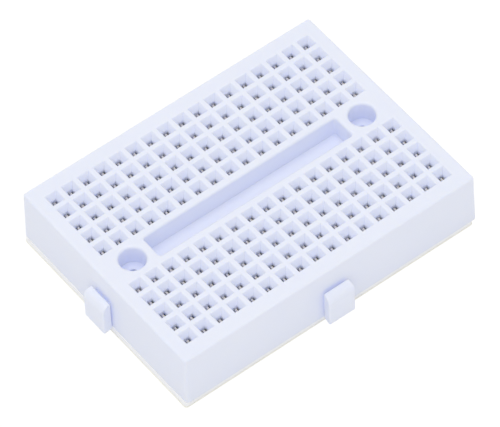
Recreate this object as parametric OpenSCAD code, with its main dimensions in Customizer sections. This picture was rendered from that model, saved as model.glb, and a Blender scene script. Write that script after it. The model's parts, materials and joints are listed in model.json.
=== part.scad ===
// Solderless breadboard, mini size: a moulded housing, its contact clips and an adhesive foam pad.
// +X runs along the columns, +Y from the near bank to the far bank, +Z up.
// The origin is the centre of the housing's footprint, on the face that the board rests on.

/* [Tie points] */
// Spacing of the tie points
pitch = 2.54; // [2.5:0.02:2.58]
// Number of columns, each with one clip in each bank
columns = 17; // [5:2:17]
// Tie points on each clip
contacts = 5; // [3:1:5]
// Distance between the inner rows of the two banks
bank_gap = 7.62; // [7.2:0.02:8]
// Side of a square lead-in at the top face
mouth = 1.96; // [1.6:0.02:2.1]
// Side of the square throat under the lead-in
throat = 0.88; // [0.8:0.02:1.2]
// Depth of the tapered lead-in
funnel_depth = 1.0; // [0.8:0.05:1.05]

/* [Housing] */
// Length at the bottom edge
base_l = 46.8; // [46.6:0.1:50]
// Width at the bottom edge
base_w = 34.7; // [34.6:0.1:38]
// Height of the moulding
body_h = 8.3; // [8:0.1:9.5]
// How far each side leans in over its height
draft = 0.25; // [0:0.05:0.3]
// Radius of the upright corners at the bottom edge
corner_r = 0.65; // [0.6:0.05:1.2]
// Radius of the edge round the top face
edge_r = 0.3; // [0.1:0.05:0.4]
// Plastic left over the clips
ceiling_t = 1.55; // [1.5:0.05:1.7]

/* [Centre channel] */
// Length of the channel between the banks
trench_l = 30.9; // [24:0.1:31]
// Width of the channel
trench_w = 3.65; // [3:0.05:4]
// Depth of the channel
trench_depth = 3.2; // [2:0.1:3.6]

/* [Screw holes] */
// Distance between the two screw holes
screw_spacing = 36.9; // [36.7:0.1:37]
// Diameter of the recess for the screw head
head_d = 3.6; // [3:0.1:3.8]
// Depth of the recess for the screw head
head_depth = 3.0; // [2:0.1:3.5]
// Diameter of the hole for the screw
screw_d = 1.2; // [1:0.1:1.5]

/* [Interlock] */
// Width of a dovetail tab at the back of its head
tab_root_w = 3.8; // [3.6:0.05:3.9]
// Width of the neck that joins a tab to the side
tab_neck_w = 2.9; // [2.5:0.1:3.3]
// Width of a dovetail tab at its outer face
tab_tip_w = 4.15; // [4:0.05:4.3]
// How far a tab stands out from the bottom edge
tab_out = 1.55; // [1.2:0.05:1.6]
// Height of a tab
tab_h = 5.0; // [4:0.05:5.2]
// Radius over the top of a tab
tab_round = 1.25; // [0.6:0.05:1.3]
// Radius of a tab's upright outer edges
tab_edge_r = 0.2; // [0.1:0.05:0.5]
// How far the neck lies below the top of a tab
tab_valley = 0.7; // [0.2:0.05:0.9]
// How far the long side's tab sits from the middle
tab_shift = 0.2; // [0:0.1:0.6]
// Clearance round a tab in the next board's slot
slot_gap = 0.12; // [0.08:0.02:0.16]

/* [Contact clips] */
// Thickness of the spring strip
strip_t = 0.1; // [0.1:0.01:0.16]
// Width over the two walls of a clip
clip_w = 1.7; // [1.6:0.05:1.76]
// Gap between the tips of the two leaves, which pinch a lead
tip_gap = 0.02; // [0.02:0.02:0.2]
// Width of one leaf along the clip
leaf_w = 1.9; // [1.7:0.05:2]
// Width of one leaf at its tip
tip_w = 0.6; // [0.5:0.02:0.64]
// How far the tips of the leaves stand up into the throats
tip_rise = 0.29; // [0:0.01:0.3]

/* [Foam pad] */
// Thickness of the foam
foam_t = 0.84; // [0.6:0.02:1.2]
// Thickness of each adhesive film
adhesive_t = 0.08; // [0.06:0.01:0.12]
// Thickness of the release liner
liner_t = 0.1; // [0.08:0.01:0.14]
// Length of the pad
pad_l = 46.4; // [45.6:0.1:46.5]
// Width of the pad
pad_w = 34.3; // [33.8:0.1:34.4]
// How far the pad is stuck on off-centre along the board
pad_shift = -0.3; // [-0.3:0.05:0.3]

/* [Hidden] */
eps = 0.5;                                        // overrun of a cutter past the face it opens
pad_t = foam_t + 2 * adhesive_t;
seat_z = liner_t + pad_t;                         // bottom face of the housing
clip_l = contacts * pitch - 0.4;
channel_w = 2.0;                                  // room for a clip, across
channel_l = contacts * pitch;                     // room for a clip, along
channel_h = body_h - ceiling_t;
tip_top = channel_h + tip_rise;                   // highest point of a leaf
bank_y = bank_gap / 2 + (contacts - 1) * pitch / 2;
mouth_round = 0.1;                                // radius round the rim of each lead-in
lip_r = 0.35;                                     // radius round the channel and the screw recesses
lip_steps = 3;
trench_corner_r = 0.4;
rib_t = 0.36;                                     // rib between two contacts, along the clip
rib_out = 0.3;                                    // how far that rib stands out of the channel wall
rib_z = 2.2;
core_wall = 1.1;                                  // plastic left over the hollows under the channel
core_w = 3.2;
core_rib = 0.9;
cores = 3;
slot_h = tab_h + 0.35;
neck_l = 0.22;                                    // gap between the head of a tab and the side
hull_fn = 32;

BANKS = ["near", "far"];

function two(n) = str(n < 10 ? "0" : "", n);
function clip_name(bank, i) = str("clip_", bank, "_", two(i + 1));
function column_x(i) = (i - (columns - 1) / 2) * pitch;
function row_y(j) = bank_gap / 2 + j * pitch;

// A bar along Y with the given outline in X and Z, centred on the X axis.
module bar_y(length, outline) {
    rotate([90, 0, 0])
        linear_extrude(height = length, center = true)
            polygon(outline);
}

// The same outline, swept along X instead.
module bar_x(length, outline) {
    rotate([0, 0, 90])
        bar_y(length, outline);
}

// A plate with rounded upright corners, from z = 0 up.
module rounded_plate(length, width, height, radius) {
    linear_extrude(height = height)
        union() {
            square([length - 2 * radius, width], center = true);
            square([length, width - 2 * radius], center = true);
            for (sx = [-1, 1])
                for (sy = [-1, 1])
                    translate([sx * (length / 2 - radius), sy * (width / 2 - radius)])
                        circle(r = radius, $fn = 32);
        }
}

// The outside of the moulding: leaning sides, rounded corners and a rounded top edge.
module body_shell() {
    rim_r = corner_r - draft;
    hull()
        for (sx = [-1, 1])
            for (sy = [-1, 1])
                translate([sx * (base_l / 2 - corner_r), sy * (base_w / 2 - corner_r), 0]) {
                    cylinder(r1 = corner_r, r2 = rim_r, h = body_h - edge_r, $fn = hull_fn);
                    translate([0, 0, body_h - edge_r])
                        rotate_extrude($fn = hull_fn)
                            translate([rim_r - edge_r, 0])
                                intersection() {
                                    circle(r = edge_r, $fn = 24);
                                    square([2 * edge_r, 2 * edge_r]);
                                }
                }
}

// Outline of one row of lead-ins: a rounded rim, a taper and a straight throat.
function lead_in() =
    let (
        side = [
            [mouth / 2, body_h + eps],
            [mouth / 2, body_h],
            [mouth / 2 - 0.5 * mouth_round, body_h - 0.3 * mouth_round],
            [mouth / 2 - 0.85 * mouth_round, body_h - 0.8 * mouth_round],
            [throat / 2, body_h - funnel_depth],
            [throat / 2, channel_h - eps]
        ]
    )
    concat(side, [for (k = [len(side) - 1 : -1 : 0]) [-side[k][0], side[k][1]]]);

// Every tie point at once: where the grooves of the columns cross the grooves of the rows.
module tie_points() {
    intersection() {
        for (i = [0 : columns - 1])
            translate([column_x(i), 0, 0])
                bar_y(base_w, lead_in());
        for (side = [-1, 1])
            for (j = [0 : contacts - 1])
                translate([0, side * row_y(j), 0])
                    bar_x(base_l, lead_in());
    }
}

// Room for one clip, open at the bottom, with ribs that stand between its contacts.
module clip_channel() {
    difference() {
        translate([-channel_w / 2, -channel_l / 2, -eps])
            cube([channel_w, channel_l, channel_h + eps]);
        for (side = [-1, 1])
            for (k = [1 : contacts - 1])
                translate([side * channel_w / 2, k * pitch - channel_l / 2, rib_z + channel_h / 2])
                    cube([2 * rib_out, rib_t, channel_h], center = true);
    }
}

// How deep a rounded lip is, and how far it has opened there, at step k down from the top face.
function lip_drop(k) = lip_r * (1 - cos(90 * k / lip_steps));
function lip_spread(k) = lip_r * (1 - sin(90 * k / lip_steps));

// One level of the channel's lip.
module channel_level(k) {
    spread = lip_spread(k);
    translate([0, 0, body_h - lip_drop(k)])
        rounded_plate(trench_l + 2 * spread, trench_w + 2 * spread, 0.01, trench_corner_r + spread);
}

// The recess between the banks, with a rounded lip.
module centre_channel() {
    translate([0, 0, body_h - trench_depth])
        rounded_plate(trench_l, trench_w, trench_depth + eps, trench_corner_r);
    for (k = [0 : lip_steps - 1])
        hull() {
            channel_level(k);
            channel_level(k + 1);
        }
}

// Hollows under the recess, which keep the moulding's walls even.
module cored_middle() {
    cell_l = (trench_l - (cores + 1) * core_rib) / cores;
    for (k = [0 : cores - 1])
        translate([(k - (cores - 1) / 2) * (cell_l + core_rib), 0, -eps])
            rounded_plate(cell_l, core_w, body_h - trench_depth - core_wall + eps, trench_corner_r);
}

// One screw hole with its head recess.
module screw_hole() {
    translate([0, 0, -eps])
        cylinder(d = screw_d, h = body_h + 2 * eps, $fn = 48);
    rotate_extrude($fn = 48)
        polygon(concat(
            [[0, body_h + eps], [0, body_h - head_depth], [head_d / 2, body_h - head_depth]],
            [for (k = [lip_steps : -1 : 0]) [head_d / 2 + lip_spread(k), body_h - lip_drop(k)]],
            [[head_d / 2 + lip_r, body_h + eps]]
        ));
}

// A dovetail that points along -Y from the wall at y = 0, wider at its rounded outer face.
module dovetail(neck_w, root_w, tip_w, reach, height, outer_r) {
    inset = 1.2;
    side = concat(
        [
            for (a = [-90 : 22.5 : 0])
                [tip_w / 2 - outer_r * (1 - cos(a)), -reach + outer_r * (1 + sin(a))]
        ],
        [[root_w / 2, -neck_l], [neck_w / 2, 0], [neck_w / 2, inset]]
    );
    linear_extrude(height = height)
        polygon(concat(side, [for (k = [len(side) - 1 : -1 : 0]) [-side[k][0], side[k][1]]]));
}

// A tab that hooks into the next board, its top rounded over towards the outer face.
module tab() {
    steps = 8;
    round_over = [
        for (k = [0 : steps])
            [
                -tab_out + tab_round * (1 - sin(90 * k / steps)),
                tab_h - tab_round * (1 - cos(90 * k / steps))
            ]
    ];
    intersection() {
        dovetail(tab_neck_w, tab_root_w, tab_tip_w, tab_out, tab_h, tab_edge_r);
        rotate([0, 0, 90])
            rotate([90, 0, 0])
                linear_extrude(height = 2 * tab_tip_w, center = true)
                    polygon(concat(
                        [[1, tab_h - tab_valley], [0, tab_h - tab_valley]],
                        round_over,
                        [[-tab_out, 0], [1, 0]]
                    ));
    }
}

// The slot that takes the next board's tab.
module tab_slot() {
    translate([0, 0, -eps])
        rotate([0, 0, 180])
            dovetail(
                tab_root_w + 2 * slot_gap,
                tab_root_w + 2 * slot_gap,
                tab_tip_w + 2 * slot_gap,
                tab_out + slot_gap,
                slot_h + eps,
                tab_edge_r
            );
}

// Puts its children on the near, left, far or right side; -Y of the child points outwards.
module on_side(side) {
    turn = side == "near" ? 0 : side == "left" ? -90 : side == "far" ? 180 : 90;
    out = side == "near" || side == "far" ? base_w / 2 : base_l / 2;
    shift = side == "near" ? tab_shift : side == "far" ? -tab_shift : 0;
    rotate([0, 0, turn])
        translate([shift, -out, 0])
            children();
}

module housing() {
    color("#eceff8")
        translate([0, 0, seat_z])
            difference() {
                union() {
                    body_shell();
                    on_side("near") tab();
                    on_side("left") tab();
                }
                tie_points();
                for (side = [-1, 1])
                    for (i = [0 : columns - 1])
                        translate([column_x(i), side * bank_y, 0])
                            clip_channel();
                centre_channel();
                cored_middle();
                for (side = [-1, 1])
                    translate([side * screw_spacing / 2, 0, 0])
                        screw_hole();
                on_side("far") tab_slot();
                on_side("right") tab_slot();
            }
}

// Middle line of the right-hand leaf: up the wall, then leaning in more and more to the tip.
function leaf_line() =
    let (
        wall_x = clip_w / 2 - strip_t / 2,
        tip_x = (tip_gap + strip_t) / 2,
        bend_z = 1.8,
        tip_z = tip_top - strip_t / 2,
        lean = 2.4,
        steps = 8
    )
    concat(
        [[wall_x, strip_t / 2]],
        [
            for (k = [0 : steps])
                let (t = k / steps)
                [wall_x + (tip_x - wall_x) * pow(t, lean), bend_z + (tip_z - bend_z) * t]
        ]
    );

// A point beside a line's point k, square to the line there.
function beside(line, k, offset) =
    let (
        a = line[max(k - 1, 0)],
        b = line[min(k + 1, len(line) - 1)],
        d = (b - a) / norm(b - a)
    )
    line[k] + offset * [-d[1], d[0]];

// Half of the clip's section, from the middle of its web out and up to the tip.
function half_section() =
    let (
        line = leaf_line(),
        last = len(line) - 1,
        h = strip_t / 2,
        tip = line[last]
    )
    concat(
        [[line[0][0] + h, 0]],
        [for (k = [1 : last]) beside(line, k, -h)],
        [for (a = [30 : 60 : 150]) tip + h * [cos(a), sin(a)]],
        [for (k = [last : -1 : 1]) beside(line, k, h)],
        [[line[0][0] - h, strip_t]]
    );

// Outline of the gap between two leaves, wider where their tips taper.
function leaf_gap() =
    let (
        low = (pitch - leaf_w) / 2,
        high = (pitch - tip_w) / 2,
        cut_z = 1.0,
        taper_z = tip_top - 1.45,
        neck_z = tip_top - 0.45
    )
    [
        [-low, cut_z],
        [low, cut_z],
        [low, taper_z],
        [high, neck_z],
        [high, tip_top + eps],
        [-high, tip_top + eps],
        [-high, neck_z],
        [-low, taper_z]
    ];

// A contact clip: a folded strip with a web below and a pair of leaves for every tie point.
module contact_clip() {
    side = half_section();
    mirrored = [for (k = [len(side) - 1 : -1 : 0]) [-side[k][0], side[k][1]]];
    difference() {
        bar_y(clip_l, concat(side, mirrored));
        for (k = [0 : contacts])
            translate([0, k * pitch - channel_l / 2, 0])
                bar_x(2 * clip_w, leaf_gap());
    }
}

module clip(bank, i) {
    side = bank == "near" ? -1 : 1;
    color("#b9b6b0")
        translate([column_x(i), side * bank_y, seat_z])
            contact_clip();
}

// One layer of the pad, from height z up.
module pad_layer(z, thickness, grow = 0) {
    translate([pad_shift, 0, z])
        rounded_plate(pad_l + 2 * grow, pad_w + 2 * grow, thickness, 0.5);
}

module adhesive_top() {
    color("#e9e7dc")
        pad_layer(seat_z - adhesive_t, adhesive_t, -0.05);
}

module foam_core() {
    color("#f1f1ee")
        pad_layer(liner_t + adhesive_t, foam_t);
}

module adhesive_bottom() {
    color("#e9e7dc")
        pad_layer(liner_t, adhesive_t, -0.05);
}

module release_liner() {
    color("#efe9d2")
        pad_layer(0, liner_t, 0.05);
}

housing();
adhesive_top();
foam_core();
adhesive_bottom();
release_liner();
for (bank = BANKS)
    for (i = [0 : columns - 1])
        clip(bank, i);
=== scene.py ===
import json
import math

import bmesh
import bpy
from mathutils import Matrix, Vector, noise


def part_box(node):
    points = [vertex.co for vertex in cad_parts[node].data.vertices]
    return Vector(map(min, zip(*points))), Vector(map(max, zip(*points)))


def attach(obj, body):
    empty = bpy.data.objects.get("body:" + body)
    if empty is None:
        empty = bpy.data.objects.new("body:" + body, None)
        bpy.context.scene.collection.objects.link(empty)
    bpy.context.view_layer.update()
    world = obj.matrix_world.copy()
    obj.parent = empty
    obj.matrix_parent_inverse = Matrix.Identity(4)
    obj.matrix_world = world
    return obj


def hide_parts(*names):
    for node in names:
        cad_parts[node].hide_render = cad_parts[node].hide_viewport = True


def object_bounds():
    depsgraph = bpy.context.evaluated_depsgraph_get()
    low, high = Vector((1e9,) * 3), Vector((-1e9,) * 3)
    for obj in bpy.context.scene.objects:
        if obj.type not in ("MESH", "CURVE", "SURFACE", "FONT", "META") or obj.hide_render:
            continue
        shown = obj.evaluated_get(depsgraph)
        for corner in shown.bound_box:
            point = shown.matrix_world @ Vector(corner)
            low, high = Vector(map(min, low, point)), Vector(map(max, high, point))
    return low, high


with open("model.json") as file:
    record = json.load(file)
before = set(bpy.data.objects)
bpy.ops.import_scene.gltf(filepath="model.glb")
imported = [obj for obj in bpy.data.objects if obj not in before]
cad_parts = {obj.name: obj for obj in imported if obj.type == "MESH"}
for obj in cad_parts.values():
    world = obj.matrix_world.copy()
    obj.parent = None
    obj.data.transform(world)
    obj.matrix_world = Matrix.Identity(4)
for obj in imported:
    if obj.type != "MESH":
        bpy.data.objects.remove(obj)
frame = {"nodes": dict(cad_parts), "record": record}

MM = 0.001
PITCH = 2.54 * MM

# Spring clips; heights are measured from the clip's underside
STRIP = 0.1 * MM            # thickness of the strip
BEND_R = 0.28 * MM          # of the strip's middle line, beside the web
SLIT_Z = 1.0 * MM           # lower end of the slits between neighbouring leaves
LEAN_Z = 1.8 * MM           # where a leaf starts to lean inward
LEAN_POWER = 2.4            # the higher, the nearer to its tip a leaf leans
LEAF_STEPS = 16
LEAF_W = 1.9 * MM
TAPER_DROP = 1.45 * MM      # a leaf starts to narrow this far below its tip
NECK_DROP = 0.45 * MM       # and has its tip's width this far below it
TIP_W = 0.6 * MM
TIP_GAP = 0.02 * MM         # between the tips of a pair of leaves
RIM_ROUND = 0.015 * MM      # rounding left by stamping and plating

# Foam pad
FOAM_CORNER = 0.5 * MM
FOAM_STEP = 0.11 * MM       # between points round the foam's edge
FOAM_ROWS = 8
FOAM_CELL = 0.27 * MM
FOAM_WAVE = 2.4 * MM        # length of the waves that the blade leaves
FOAM_DEPTH = 0.02 * MM      # of those waves, and of the drawn-in middle
OPEN_CELL_DEPTH = 0.08 * MM
FILM_CORNER = 0.45 * MM
FILM_STEP = 0.35 * MM       # between points round a film's edge
FILM_WANDER = 1.7 * MM      # length of the wandering of a film's edge
FILM_RAGGED = 0.05 * MM     # depth of it
LINER_RAGGED = 0.03 * MM
PRESSED = 0.015 * MM        # how far the housing's walls press into the adhesive
PRINT_CORNER = 0.12 * MM
PRINT_STEP = 0.6 * MM

# Stage
FLOOR_REACH = 2.0
FLOOR_DROP = 0.02 * MM      # keeps the floor clear of the liner's face
PAINTED_SHADE_REACH = 4 * MM        # how far from the board the floor's colour carries a painted contact shadow, darker towards the board
CAMERA_DISTANCE = 0.6493
CAMERA_SPREAD = 5.643       # degrees across the picture

cad_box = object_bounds()
CLIPS = sorted(name for name in frame["nodes"] if name.startswith("clip_"))


# ---------------------------------------------------------------- node helpers

class Shader:
    """A node material under construction: add() makes a node, link() joins two."""

    def __init__(self, name):
        self.material = bpy.data.materials.new(name)
        self.material.use_nodes = True
        self.tree = self.material.node_tree
        self.tree.nodes.clear()
        self.out = self.add("ShaderNodeOutputMaterial")
        self.bsdf = self.add("ShaderNodeBsdfPrincipled")
        self.link(self.bsdf, "BSDF", self.out, "Surface")
        self.coords = self.add("ShaderNodeTexCoord")

    def add(self, kind, **settings):
        node = self.tree.nodes.new(kind)
        for key, value in settings.items():
            setattr(node, key, value)
        return node

    def link(self, source, source_socket, target, target_socket):
        self.tree.links.new(source.outputs[source_socket], target.inputs[target_socket])

    def set(self, node, **values):
        for key, value in values.items():
            node.inputs[key.replace("_", " ")].default_value = value
        return node

    def noise(self, size, detail=3.0, stretch=(1.0, 1.0, 1.0)):
        """Noise whose features are about `size` metres across, in the object's own space."""
        mapping = self.add("ShaderNodeMapping")
        mapping.inputs["Scale"].default_value = [s / size for s in stretch]
        self.link(self.coords, "Object", mapping, "Vector")
        texture = self.set(self.add("ShaderNodeTexNoise"), Scale=1.0, Detail=detail)
        self.link(mapping, "Vector", texture, "Vector")
        return texture

    def vary(self, socket, texture, low, high):
        """Lets one of the surface's numbers or colours wander between two values with a noise."""
        number = isinstance(low, float)
        kind = "VALUE" if number else "RGBA"
        share = self.set(self.add("ShaderNodeMapRange"), From_Min=0.35, From_Max=0.65)
        self.link(texture, "Fac", share, "Value")
        mix = self.add("ShaderNodeMix", data_type="FLOAT" if number else "RGBA")
        self.link(share, "Result", mix, 0)
        a, b = [pin for pin in mix.inputs if pin.type == kind and pin.name in ("A", "B")]
        a.default_value = low if number else (*low, 1.0)
        b.default_value = high if number else (*high, 1.0)
        result = next(pin for pin in mix.outputs if pin.type == kind)
        self.tree.links.new(result, self.bsdf.inputs[socket])

    def relief(self, layers, soft_edge=None):
        """Stacks bumps of (noise, height in metres), over softened edges if asked."""
        last = None
        if soft_edge:
            last = self.set(self.add("ShaderNodeBevel", samples=6), Radius=soft_edge)
        for texture, height in layers:
            bump = self.set(self.add("ShaderNodeBump"), Strength=1.0, Distance=height)
            self.link(texture, "Fac", bump, "Height")
            if last:
                self.link(last, "Normal", bump, "Normal")
            last = bump
        self.link(last, "Normal", self.bsdf, "Normal")


# ------------------------------------------------------------------- materials

def white_abs():
    """Cool white moulded ABS: a faint eggshell from the mould, slightly translucent."""
    s = Shader("white_abs")
    cloud = s.noise(9 * MM, detail=2.0)
    patches = s.noise(2.5 * MM, detail=4.0)
    grain = s.noise(0.09 * MM, detail=2.0)
    waviness = s.noise(1.6 * MM, detail=1.0)
    s.vary("Base Color", cloud, (0.764, 0.803, 0.963), (0.776, 0.813, 0.969))
    s.vary("Roughness", patches, 0.40, 0.50)
    s.set(s.bsdf, IOR=1.53, Subsurface_Weight=0.4, Subsurface_Scale=0.25 * MM)
    s.set(s.bsdf, Subsurface_Radius=(1.0, 0.9, 0.7))
    s.relief([(waviness, 0.006 * MM), (grain, 0.0016 * MM)], soft_edge=0.14 * MM)
    return s.material


def plated_spring():
    """Nickel-plated phosphor bronze strip with rolling marks along it."""
    s = Shader("plated_spring")
    rolling = s.noise(0.05 * MM, detail=3.0, stretch=(1.0, 0.06, 1.0))
    tarnish = s.noise(1.2 * MM, detail=4.0)
    s.vary("Base Color", tarnish, (0.92, 0.86, 0.81), (0.98, 0.94, 0.90))
    s.vary("Roughness", rolling, 0.08, 0.18)
    s.set(s.bsdf, Metallic=1.0)
    s.relief([(rolling, 0.0008 * MM)], soft_edge=0.015 * MM)
    return s.material


def foam():
    """Dull white foam with fine cells."""
    s = Shader("foam")
    cells = s.noise(0.12 * MM, detail=3.0)
    s.vary("Base Color", cells, (0.965, 0.97, 0.985), (0.985, 0.99, 0.995))
    s.set(s.bsdf, Roughness=0.85)
    s.relief([(cells, 0.02 * MM)])
    return s.material


def adhesive_film():
    """Glossy, rippled adhesive, a little off white."""
    s = Shader("adhesive_film")
    ripple = s.noise(0.8 * MM, detail=3.0)
    s.vary("Base Color", ripple, (0.97, 0.965, 0.93), (0.99, 0.985, 0.96))
    s.set(s.bsdf, Roughness=0.28)
    s.relief([(ripple, 0.01 * MM)])
    return s.material


def liner_paper():
    """Cream siliconed paper, with its fibres across the board."""
    s = Shader("liner_paper")
    fibre = s.noise(0.25 * MM, detail=4.0, stretch=(1.0, 0.3, 1.0))
    s.vary("Base Color", fibre, (0.97, 0.95, 0.82), (0.99, 0.975, 0.87))
    s.set(s.bsdf, Roughness=0.5)
    s.relief([(fibre, 0.004 * MM)])
    return s.material


MATERIALS = {
    "white_abs": white_abs(),
    "plated_spring": plated_spring(),
    "foam": foam(),
    "adhesive_film": adhesive_film(),
    "liner_paper": liner_paper(),
}

for part in frame["record"]["subparts"]:
    obj = frame["nodes"][part["node"]]
    obj.data.materials.clear()
    obj.data.materials.append(MATERIALS[part["material_slot"]])


# -------------------------------------------------------- outlines and edges

def rounded_outline(low, high, radius, step):
    """Points about `step` apart round a rectangle with rounded corners, counterclockwise."""
    arc_steps = max(4, round(radius * math.pi / 2 / step))
    corners = [
        (high[0] - radius, high[1] - radius, 0.0),
        (low[0] + radius, high[1] - radius, 90.0),
        (low[0] + radius, low[1] + radius, 180.0),
        (high[0] - radius, low[1] + radius, 270.0),
    ]
    turns = []
    for cx, cy, start in corners:
        for k in range(arc_steps + 1):
            a = math.radians(start + 90.0 * k / arc_steps)
            turns.append(Vector((cx + radius * math.cos(a), cy + radius * math.sin(a))))
    points = []
    for a, b in zip(turns, turns[1:] + turns[:1]):
        count = max(1, round((b - a).length / step))
        points += [a.lerp(b, k / count) for k in range(count)]
    return points


def edge_normals(points):
    """Outward direction at each point of a counterclockwise outline."""
    normals = []
    for before, after in zip(points[-1:] + points[:-1], points[1:] + points[:1]):
        along = (after - before).normalized()
        normals.append(Vector((along.y, -along.x)))
    return normals


def inset_ring(outline, normals, z, inset):
    """The outline at height z, with each point moved inward by inset(place)."""
    ring = []
    for p, n in zip(outline, normals):
        back = inset(Vector((p.x, p.y, z)))
        ring.append(Vector((p.x - n.x * back, p.y - n.y * back, z)))
    return ring


def edge_wall(rings):
    """Quads between stacked rings, with one face closing each end."""
    count = len(rings[0])
    verts = [p for ring in rings for p in ring]
    faces = []
    for r in range(len(rings) - 1):
        for k in range(count):
            a = r * count + k
            b = r * count + (k + 1) % count
            faces.append((a, b, b + count, a + count))
    faces.append(tuple(reversed(range(count))))
    faces.append(tuple(range((len(rings) - 1) * count, len(rings) * count)))
    return verts, faces


# ------------------------------------------------------------- the foam pad

def pad_piece(name, node, body, material_slot, verts, faces):
    """One layer of the pad, with its end faces cut into triangles and its edge shaded smooth."""
    mesh = bpy.data.meshes.new(name)
    mesh.from_pydata([tuple(v) for v in verts], [], faces)
    bm = bmesh.new()
    bm.from_mesh(mesh)
    ends = [face for face in bm.faces if len(face.verts) > 4]
    bmesh.ops.triangulate(bm, faces=ends)
    bm.to_mesh(mesh)
    bm.free()
    for face in mesh.polygons:
        face.use_smooth = abs(face.normal.z) < 0.5
    obj = bpy.data.objects.new(name, mesh)
    bpy.context.scene.collection.objects.link(obj)
    mesh.materials.append(MATERIALS[material_slot])
    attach(obj, body)
    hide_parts(node)


def foam_sheet():
    """Closed-cell foam, die-cut: the blade leaves its edge drawn in, wavy and full of open cells."""
    low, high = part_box("foam_core")
    outline = rounded_outline(low, high, FOAM_CORNER, FOAM_STEP)
    normals = edge_normals(outline)
    rings = []
    for row in range(FOAM_ROWS + 1):
        share = row / FOAM_ROWS
        drawn_in = FOAM_DEPTH * math.sin(math.pi * share)
        cell_depth = OPEN_CELL_DEPTH if 0 < row < FOAM_ROWS else 0.0

        def inset(place):
            wave = FOAM_DEPTH * (1 - noise.noise(place / FOAM_WAVE))
            bubble = max(0.0, 0.52 - noise.voronoi(place / FOAM_CELL)[0][0])
            return wave + bubble * cell_depth + drawn_in

        rings.append(inset_ring(outline, normals, low.z + (high.z - low.z) * share, inset))
    pad_piece("foam_sheet", "foam_core", "foam_pad", "foam", *edge_wall(rings))


def film(node, ragged, sunk=0.0):
    """A thin film whose cut edge wanders by up to `ragged` and is a little rounded."""
    low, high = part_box(node)
    thickness = high.z - sunk - low.z
    outline = rounded_outline(low, high, FILM_CORNER, FILM_STEP)
    normals = edge_normals(outline)
    rings = []
    for share, rounding in ((0.0, 0.018), (0.3, 0.0), (0.7, 0.0), (1.0, 0.018)):

        def inset(place):
            spot = Vector((place.x, place.y, low.z))
            wander = (1 + noise.noise(spot / FILM_WANDER)) * ragged / 2
            return rounding * MM + wander

        rings.append(inset_ring(outline, normals, low.z + thickness * share, inset))
    return edge_wall(rings)


def bottom_film():
    """The film that sticks the board down."""
    verts, faces = film("adhesive_bottom", FILM_RAGGED)
    pad_piece("bottom_film", "adhesive_bottom", "foam_pad", "adhesive_film", verts, faces)


def liner_sheet():
    """Siliconed paper; only its cut edge is softened, as it lies flat."""
    verts, faces = film("release_liner", LINER_RAGGED)
    pad_piece("liner_sheet", "release_liner", "release_liner", "liner_paper", verts, faces)


def raised_print(clip_low, clip_high, top):
    """The low cushion of adhesive that rises round one clip's web, where no plastic presses on it."""
    outline = rounded_outline(clip_low, clip_high, PRINT_CORNER, PRINT_STEP)
    normals = edge_normals(outline)
    rings = []
    for spread, drop in ((0.15, 1.8), (0.14, 1.0), (0.10, 0.3), (0.05, 0.0)):
        rings.append(inset_ring(outline, normals, top - drop * PRESSED, lambda place: -spread * MM))
    return edge_wall(rings)


def top_film():
    """The film that holds the housing: pressed down under its walls, standing up in its channels."""
    verts, faces = film("adhesive_top", FILM_RAGGED, sunk=PRESSED)
    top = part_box("adhesive_top")[1].z
    for name in CLIPS:
        print_verts, print_faces = raised_print(*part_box(name), top)
        faces += [tuple(i + len(verts) for i in face) for face in print_faces]
        verts += print_verts
    pad_piece("top_film", "adhesive_top", "foam_pad", "adhesive_film", verts, faces)


# ------------------------------------------------------------ contact clips

def arc(centre, radius, start, end, steps):
    """Points on an arc in X and Z; angles in degrees."""
    points = []
    for k in range(steps + 1):
        a = math.radians(start + (end - start) * k / steps)
        points.append((centre[0] + radius * math.cos(a), centre[1] + radius * math.sin(a)))
    return points


def leaf_curve(wall_x, top):
    """Middle line of the right-hand side of the strip: web, bend, wall, leaf and tip."""
    half = STRIP / 2
    line = [(0.0, half), (0.25 * MM, half)]
    line += arc((wall_x - BEND_R, half + BEND_R), BEND_R, -90, 0, 4)
    line.append((wall_x, SLIT_Z))
    tip_x = (TIP_GAP + STRIP) / 2
    for k in range(LEAF_STEPS + 1):
        t = k / LEAF_STEPS
        x = wall_x + (tip_x - wall_x) * t ** LEAN_POWER
        line.append((x, LEAN_Z + (top - LEAN_Z) * t))
    return line


def along_clip(contacts):
    """Stations along the clip: (position, leaf middle or None in a gap, share of the half width)."""
    half_gap = (PITCH - LEAF_W) / 2
    stations = []
    for j in range(contacts):
        middle = (j - (contacts - 1) / 2) * PITCH
        if j:
            gap_middle = middle - PITCH / 2
            stations += [(gap_middle + s * half_gap, None, s) for s in (-0.6, 0.0, 0.6)]
        stations += [(middle + s * LEAF_W / 2, middle, s) for s in (-1.0, -0.5, 0.0, 0.5, 1.0)]
    return stations


def strip_point(x, z, station, height):
    """Where a point of the strip's middle line comes to lie at one station along the clip."""
    y, middle, share = station
    if middle is None:
        dip = (PITCH - LEAF_W) / 2 * math.sqrt(max(0.0, 1 - share * share))
        return (x, y, min(z, SLIT_Z - dip) if z >= SLIT_Z else z)
    narrowed = (z - height + TAPER_DROP) / (TAPER_DROP - NECK_DROP)
    narrowed = min(1.0, max(0.0, narrowed))
    half = (LEAF_W + (TIP_W - LEAF_W) * narrowed) / 2
    return (x, middle + share * half, z)


def folded_strip(width, length, height):
    """The clip's middle surface: one folded strip, slit down both sides into pairs of leaves."""
    right = leaf_curve((width - STRIP) / 2, height)
    line = [(-x, z) for x, z in reversed(right[1:])] + right
    stations = along_clip(round(length / PITCH))
    verts = [strip_point(x, z, station, height) for x, z in line for station in stations]
    count = len(stations)
    faces = []
    for r in range(len(line) - 1):
        above_slit = min(line[r][1], line[r + 1][1]) >= SLIT_Z
        for k in range(count - 1):
            in_gap = stations[k][1] is None or stations[k + 1][1] is None
            if above_slit and in_gap:
                continue
            a = r * count + k
            faces.append((a, a + 1, a + 1 + count, a + count))
    return verts, faces


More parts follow.
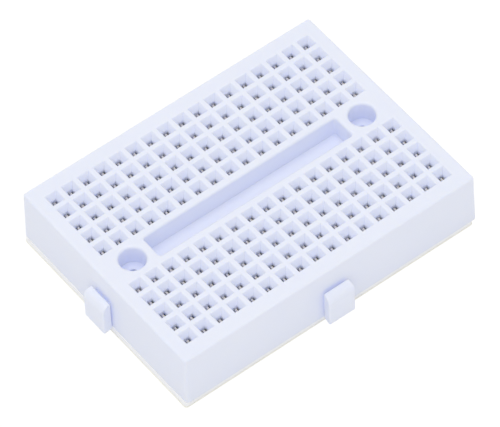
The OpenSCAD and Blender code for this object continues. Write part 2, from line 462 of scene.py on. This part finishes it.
def thickened(verts, faces):
    """The strip given its thickness, with the soft edges that stamping and plating leave."""
    mesh = bpy.data.meshes.new("clip_strip")
    mesh.from_pydata(verts, [], faces)
    maker = bpy.data.objects.new("clip_maker", mesh)
    bpy.context.scene.collection.objects.link(maker)
    shell = maker.modifiers.new("thickness", "SOLIDIFY")
    shell.thickness = STRIP
    shell.offset = 0.0
    shell.use_even_offset = True
    rim = maker.modifiers.new("rim", "BEVEL")
    rim.width = RIM_ROUND
    rim.segments = 2
    rim.limit_method = "ANGLE"
    rim.angle_limit = math.radians(50)
    graph = bpy.context.evaluated_depsgraph_get()
    finished = bpy.data.meshes.new_from_object(maker.evaluated_get(graph))
    finished.name = "contact_clip"
    bpy.data.objects.remove(maker)
    return finished


def clip_mesh(width, length, height):
    """The finished clip, cleaned of doubled and loose points."""
    finished = thickened(*folded_strip(width, length, height))
    bm = bmesh.new()
    bm.from_mesh(finished)
    bmesh.ops.remove_doubles(bm, verts=bm.verts, dist=0.0005 * MM)
    bmesh.ops.recalc_face_normals(bm, faces=bm.faces)
    loose = [v for v in bm.verts if not v.link_faces]
    bmesh.ops.delete(bm, geom=loose, context="VERTS")
    bm.to_mesh(finished)
    bm.free()
    for face in finished.polygons:
        face.use_smooth = True
    finished.materials.clear()
    finished.materials.append(MATERIALS["plated_spring"])
    return finished


def add_clips():
    """The same folded clip in each clip's place."""
    low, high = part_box(CLIPS[0])
    mesh = clip_mesh(*(high - low))
    for name in CLIPS:
        low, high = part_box(name)
        obj = bpy.data.objects.new("strip_" + name, mesh)
        bpy.context.scene.collection.objects.link(obj)
        obj.location = ((low.x + high.x) / 2, (low.y + high.y) / 2, low.z)
        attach(obj, "foam_pad")
        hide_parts(name)


foam_sheet()
bottom_film()
top_film()
liner_sheet()
add_clips()


# ------------------------------------------------------- floor, light, camera

def distance_outside_board(s):
    """A node whose value is how far a point of the floor lies outside the board's footprint."""
    parts = s.add("ShaderNodeSeparateXYZ")
    s.link(s.coords, "Object", parts, "Vector")
    farther = s.add("ShaderNodeMath", operation="MAXIMUM")
    for axis, name in enumerate("XY"):
        size = s.add("ShaderNodeMath", operation="ABSOLUTE")
        s.link(parts, name, size, 0)
        outside = s.add("ShaderNodeMath", operation="SUBTRACT")
        s.link(size, 0, outside, 0)
        outside.inputs[1].default_value = (cad_box[1][axis] - cad_box[0][axis]) / 2
        s.link(outside, 0, farther, axis)
    return farther


def floor_white():
    """Pure white to the camera; to other rays a white sheet with a painted contact shadow, its colour
    darker close to the board.
    """
    s = Shader("floor_white")
    s.set(s.bsdf, Roughness=0.9)
    shade = s.add("ShaderNodeMapRange")
    # painted contact shadow: for bounced light the floor's colour runs from 0.79 at the board's edge
    # up to 0.93 at the reach set above
    s.set(shade, From_Min=0.0, From_Max=PAINTED_SHADE_REACH, To_Min=0.79, To_Max=0.93)
    s.link(distance_outside_board(s), 0, shade, "Value")
    s.link(shade, "Result", s.bsdf, "Base Color")
    overexposed = s.set(s.add("ShaderNodeEmission"), Strength=1.05)
    path = s.add("ShaderNodeLightPath")
    pick = s.add("ShaderNodeMixShader")
    s.link(path, "Is Camera Ray", pick, 0)
    s.link(s.bsdf, "BSDF", pick, 1)
    s.link(overexposed, "Emission", pick, 2)
    s.link(pick, "Shader", s.out, "Surface")
    return s.material


def add_floor():
    mesh = bpy.data.meshes.new("floor")
    level = cad_box[0][2] - FLOOR_DROP
    corners = [(-1, -1), (1, -1), (1, 1), (-1, 1)]
    verts = [(x * FLOOR_REACH, y * FLOOR_REACH, level) for x, y in corners]
    mesh.from_pydata(verts, [], [(0, 1, 2, 3)])
    mesh.materials.append(floor_white())
    floor = bpy.data.objects.new("floor", mesh)
    bpy.context.scene.collection.objects.link(floor)


def add_softbox(name, place, size, power):
    """A square area light that faces the board."""
    light = bpy.data.lights.new(name, "AREA")
    light.shape = "SQUARE"
    light.size = size
    light.energy = power
    obj = bpy.data.objects.new(name, light)
    bpy.context.scene.collection.objects.link(obj)
    obj.location = place
    obj.rotation_euler = (-Vector(place)).to_track_quat("-Z", "Y").to_euler()


def add_world(strength):
    world = bpy.data.worlds.new("studio")
    world.use_nodes = True
    background = world.node_tree.nodes["Background"]
    background.inputs["Color"].default_value = (1.0, 1.0, 1.0, 1.0)
    background.inputs["Strength"].default_value = strength
    bpy.context.scene.world = world


def add_camera():
    """The photograph's viewing angle: a long lens from the front left, above."""
    azimuth = math.radians(35.37)
    elevation = math.radians(52.16)
    roll = math.radians(2.94)
    height = cad_box[1][2] - cad_box[0][2]
    aim = Vector((-0.05 * MM, -0.12 * MM, 0.404 * height))
    forward = Vector((
        math.sin(azimuth) * math.cos(elevation),
        math.cos(azimuth) * math.cos(elevation),
        -math.sin(elevation),
    ))
    level = forward.cross(Vector((0, 0, 1))).normalized()
    upright = level.cross(forward)
    right = level * math.cos(roll) - upright * math.sin(roll)
    up = right.cross(forward)
    camera = bpy.data.cameras.new("camera")
    camera.sensor_fit = "HORIZONTAL"
    camera.angle = math.radians(CAMERA_SPREAD)
    camera.clip_start = 0.01
    obj = bpy.data.objects.new("camera", camera)
    bpy.context.scene.collection.objects.link(obj)
    turn = Matrix((right, up, -forward)).transposed().to_4x4()
    obj.matrix_world = Matrix.Translation(aim - CAMERA_DISTANCE * forward) @ turn
    bpy.context.scene.camera = obj


def flatten_highlights():
    """View and light settings that keep the whites as even as in an overexposed photograph."""
    scene = bpy.context.scene
    scene.view_settings.view_transform = "Standard"
    scene.view_settings.gamma = 1.3
    scene.cycles.diffuse_bounces = 16
    scene.cycles.max_bounces = 24


add_floor()
add_world(0.67)
add_softbox("top_softbox", (0.0, 0.08, 0.8), size=0.45, power=1.9)
add_softbox("fill_softbox", (-0.53, -0.60, 0.50), size=0.7, power=1.25)
add_camera()
flatten_highlights()
